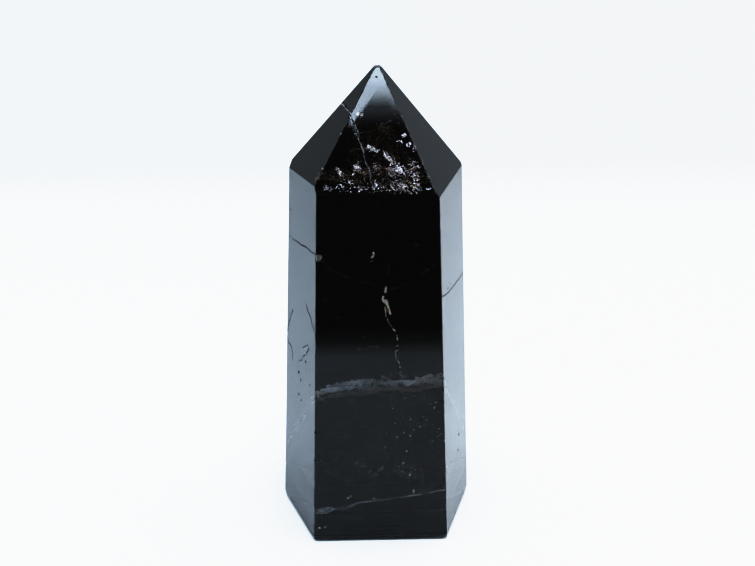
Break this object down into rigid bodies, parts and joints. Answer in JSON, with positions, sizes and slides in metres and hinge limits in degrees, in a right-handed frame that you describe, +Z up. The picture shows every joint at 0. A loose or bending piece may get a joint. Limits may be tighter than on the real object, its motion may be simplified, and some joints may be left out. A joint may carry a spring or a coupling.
{
  "type": "morion quartz point",
  "caption": "Standing polished point of near-black smoky quartz: a tapering hexagonal tower with a pointed faceted top, a flat base, fine cracks and pale veils inside.",
  "frame": {"origin": "on the resting face, under the middle of the crystal's outline", "axes": "+Z up from the base to the tip; -Y out of the front, the wide side with the long crack; +X to the right seen from the front"},
  "size_m": [0.0359, 0.033, 0.088],
  "materials": {
    "morion_quartz": "polished"
  },
  "bodies": {
    "root": {"quartz_point": "morion_quartz"}
  },
  "joints": []
}
